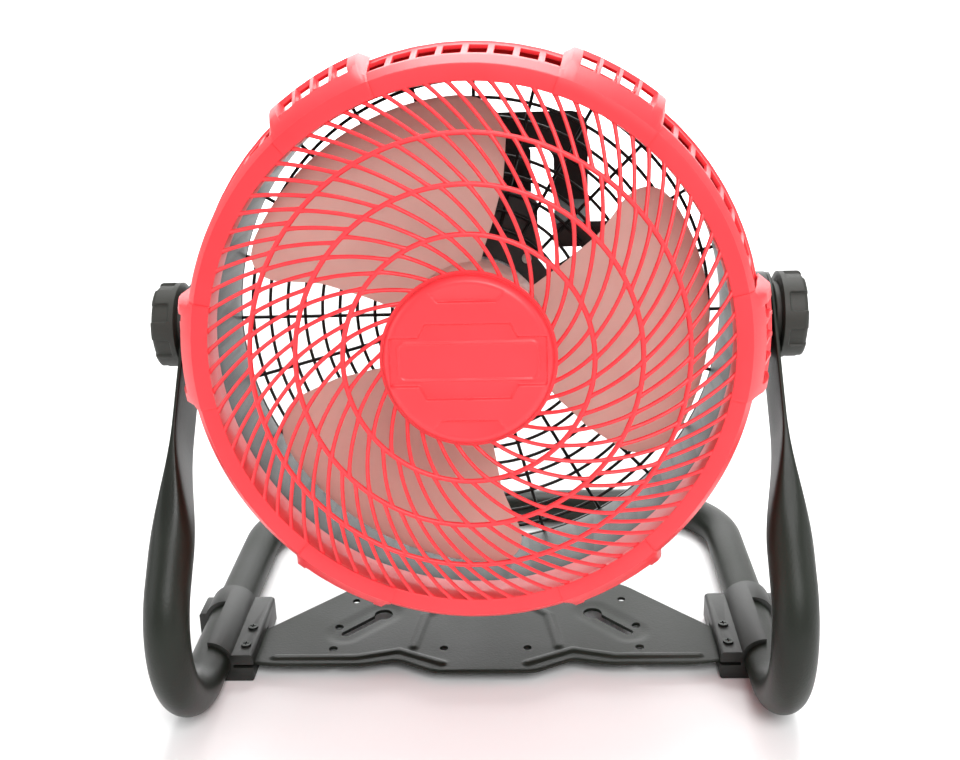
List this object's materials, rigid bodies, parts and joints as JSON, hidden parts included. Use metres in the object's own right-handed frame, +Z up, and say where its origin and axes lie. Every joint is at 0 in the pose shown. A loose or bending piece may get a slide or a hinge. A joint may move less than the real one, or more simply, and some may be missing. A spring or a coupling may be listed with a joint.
{
  "type": "cordless drum fan",
  "caption": "Cordless axial drum fan: a swirl-guarded head tilts between clamp knobs in a bent-tube floor stand, with a slide-on battery.",
  "frame": {"origin": "on the floor under the middle of the bounding box", "axes": "+X to the right seen from the front, +Y to the rear (the air blows towards -Y), +Z up"},
  "size_m": [0.4336, 0.3524, 0.4355],
  "materials": {
    "red_plastic": "moulded ABS, satin",
    "black_plastic": "moulded, fine grain",
    "knob_plastic": "moulded nylon, matt",
    "tube_paint": "powder coat, semi-gloss",
    "plate_paint": "powder coat, fine texture",
    "zinc_steel": "zinc plated",
    "screw_steel": "blackened",
    "black_rubber": "matt",
    "cast_aluminium": "die cast",
    "bearing_steel": "ground",
    "lamination_steel": "stacked laminations",
    "copper_wire": "enamelled winding",
    "lead_sheath": "sheath",
    "board_green": "solder mask",
    "frosted_blade": "translucent, satin",
    "magnet_grey": "sintered",
    "brass_insert": "knurled",
    "battery_grey": "moulded, satin",
    "cell_wrap": "shrink wrap"
  },
  "bodies": {
    "stand": {"stand_tube": "tube_paint", "base_plate": "plate_paint", "tube_clip_left": "black_plastic", "tube_clip_right": "black_plastic", "clip_screws": "screw_steel"},
    "head": {"front_grille": "red_plastic", "grille_cap": "red_plastic", "front_shroud": "red_plastic", "rear_housing": "black_plastic", "rear_grille": "black_plastic", "grille_screws": "screw_steel", "pivot_studs": "zinc_steel", "friction_washers": "black_rubber", "motor_bracket": "cast_aluminium", "motor_screws": "screw_steel", "motor_bearings": "bearing_steel", "motor_stator": "lamination_steel", "stator_coils": "copper_wire", "motor_lead": "lead_sheath", "control_pod": "black_plastic", "pod_screws": "screw_steel", "control_board": "board_green", "pod_cover": "black_plastic", "cover_screws": "screw_steel", "battery_terminals": "black_plastic", "speed_switch": "black_plastic", "carry_handle": "black_plastic", "handle_screws": "screw_steel"},
    "rotor": {"fan_blades": "frosted_blade", "motor_bell": "zinc_steel", "rotor_magnets": "magnet_grey", "motor_shaft": "bearing_steel", "blade_nut": "zinc_steel"},
    "knob_left": {"knob_left": "knob_plastic", "knob_insert_left": "brass_insert"},
    "knob_right": {"knob_right": "knob_plastic", "knob_insert_right": "brass_insert"},
    "speed_dial": {"speed_dial": "knob_plastic"},
    "battery": {"battery_base": "black_plastic", "battery_case": "battery_grey", "battery_cells": "cell_wrap"},
    "latch": {"latch_button": "red_plastic"}
  },
  "joints": [
    {"name": "head_tilt", "type": "hinge", "parent": "stand", "child": "head", "pos_m": [0, -0.02669, 0.248], "axis": [-1, 0, 0], "continuous": true},
    {"name": "blade_spin", "type": "hinge", "parent": "head", "child": "rotor", "pos_m": [0, -0.08429, 0.25487], "axis": [0, -0.993, 0.1184], "continuous": true},
    {"name": "knob_left_turn", "type": "hinge", "parent": "head", "child": "knob_left", "pos_m": [-0.207, -0.02669, 0.248], "axis": [-1, 0, 0], "range_deg": [0, 360]},
    {"name": "knob_right_turn", "type": "hinge", "parent": "head", "child": "knob_right", "pos_m": [0.207, -0.02669, 0.248], "axis": [1, 0, 0], "range_deg": [0, 360]},
    {"name": "speed_dial_turn", "type": "hinge", "parent": "head", "child": "speed_dial", "pos_m": [0, 0.04351, 0.20337], "axis": [0, 0.993, -0.1184], "range_deg": [0, 270]},
    {"name": "battery_slide", "type": "slide", "parent": "head", "child": "battery", "axis": [0, 0.1184, 0.993], "range_m": [0, 0.06]},
    {"name": "latch_press", "type": "slide", "parent": "battery", "child": "latch", "axis": [0, -0.1184, -0.993], "range_m": [0, 0.003], "stiffness_N_per_m": 500, "springref_m": -0.002}
  ]
}
